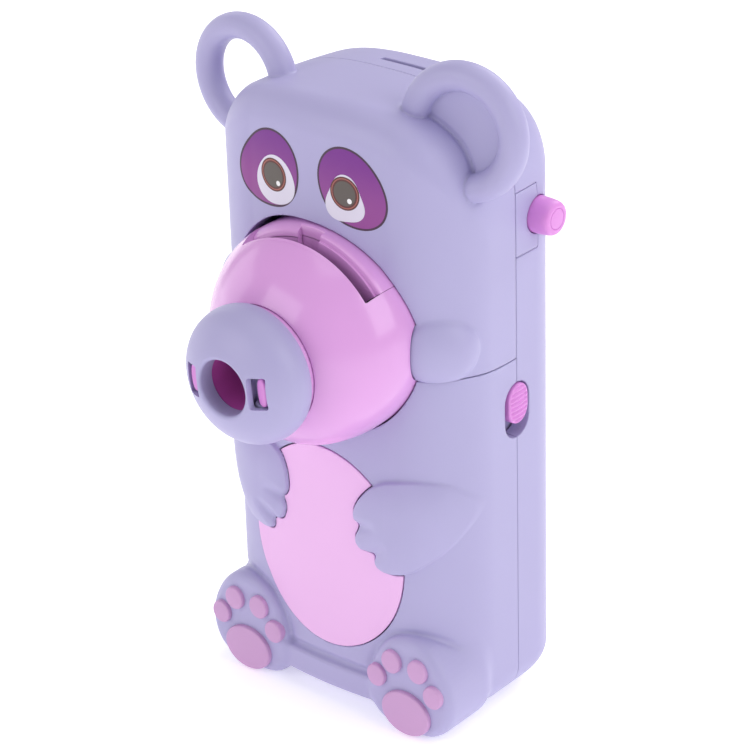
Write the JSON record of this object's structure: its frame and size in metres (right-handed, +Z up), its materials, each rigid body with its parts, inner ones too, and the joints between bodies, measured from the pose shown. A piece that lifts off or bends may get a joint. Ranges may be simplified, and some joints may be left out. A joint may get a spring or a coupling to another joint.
{
  "type": "toy slide projector",
  "caption": "Bear-shaped toy slide projector: upright rounded case, domed housing with a slot for picture discs, turning focus snout, side push button, slide switch and battery door.",
  "frame": {"origin": "on the table, under the middle of the bounding box", "axes": "+Z up, the face and the snout look along -Y, +X is to the right of someone facing the bear"},
  "size_m": [0.1104, 0.0908, 0.1915],
  "materials": {
    "lilac_shell": "satin moulded, lilac",
    "pink_gloss": "polished moulded, pink",
    "pink_belly": "satin moulded, pale pink",
    "pink_control": "moulded, pink",
    "magenta_tube": "moulded, dark pink inside the snout",
    "lens": "clear",
    "black_plastic": "matt",
    "white_plastic": "matt",
    "reflector": "bright",
    "steel": "plated",
    "board": "printed circuit board",
    "cell": "plain wrap",
    "rubber_pad": "matt"
  },
  "bodies": {
    "housing": {"head_front_shell": "lilac_shell", "body_front_shell": "lilac_shell", "back_shell": "lilac_shell", "left_ear": "lilac_shell", "right_ear": "lilac_shell", "belly_plate": "pink_belly", "snout_globe": "pink_gloss", "slide_gate": "pink_gloss", "focus_guide": "pink_gloss", "light_tube": "black_plastic", "condenser_lens": "lens", "reflector": "reflector", "led": "white_plastic", "led_board": "white_plastic", "button_plate": "lilac_shell", "button_spring": "steel", "button_contact": "black_plastic", "main_board": "board", "switch_body": "steel", "switch_bed": "lilac_shell", "battery_tray": "lilac_shell", "rear_foot_left": "rubber_pad", "rear_foot_right": "rubber_pad", "battery_cell_1": "cell", "contact_plate_1": "steel", "battery_cell_2": "cell", "contact_plate_2": "steel", "battery_cell_3": "cell", "contact_plate_3": "steel", "shell_screw_1": "steel", "shell_screw_2": "steel", "shell_screw_3": "steel", "shell_screw_4": "steel", "shell_screw_5": "steel", "shell_screw_6": "steel"},
    "lens_carrier": {"projection_lens": "lens", "lens_ring": "black_plastic"},
    "focus_barrel": {"muzzle_cap": "lilac_shell", "focus_tube": "magenta_tube"},
    "push_button": {"push_button": "pink_control"},
    "switch_knob": {"switch_knob": "pink_control"},
    "battery_door": {"battery_door": "lilac_shell"},
    "battery_door_screw": {"battery_door_screw": "steel"}
  },
  "joints": [
    {"name": "button_press", "type": "slide", "parent": "housing", "child": "push_button", "axis": [-1, 0, 0], "range_m": [0, 0.0022], "stiffness_N_per_m": 400, "springref_m": -0.001, "deforming": ["button_spring"]},
    {"name": "switch_slide", "type": "slide", "parent": "housing", "child": "switch_knob", "axis": [0, 0, -1], "range_m": [0, 0.004]},
    {"name": "focus_slide", "type": "slide", "parent": "housing", "child": "lens_carrier", "axis": [0, -1, 0], "range_m": [0, 0.005]},
    {"name": "focus_turn", "type": "hinge", "parent": "lens_carrier", "child": "focus_barrel", "pos_m": [0, -0.035, 0.112], "axis": [0, -1, 0], "range_deg": [0, 149]},
    {"name": "door_hinge", "type": "hinge", "parent": "housing", "child": "battery_door", "pos_m": [0, 0.0445, 0.0134], "axis": [-1, 0, 0], "range_deg": [0, 100]},
    {"name": "door_screw_turn", "type": "hinge", "parent": "battery_door", "child": "battery_door_screw", "pos_m": [0, 0.044, 0.071], "axis": [0, 1, 0], "continuous": true}
  ],
  "couplings": [
    {"joint": "focus_turn", "follows": "focus_slide", "rad_per_m": 520}
  ]
}
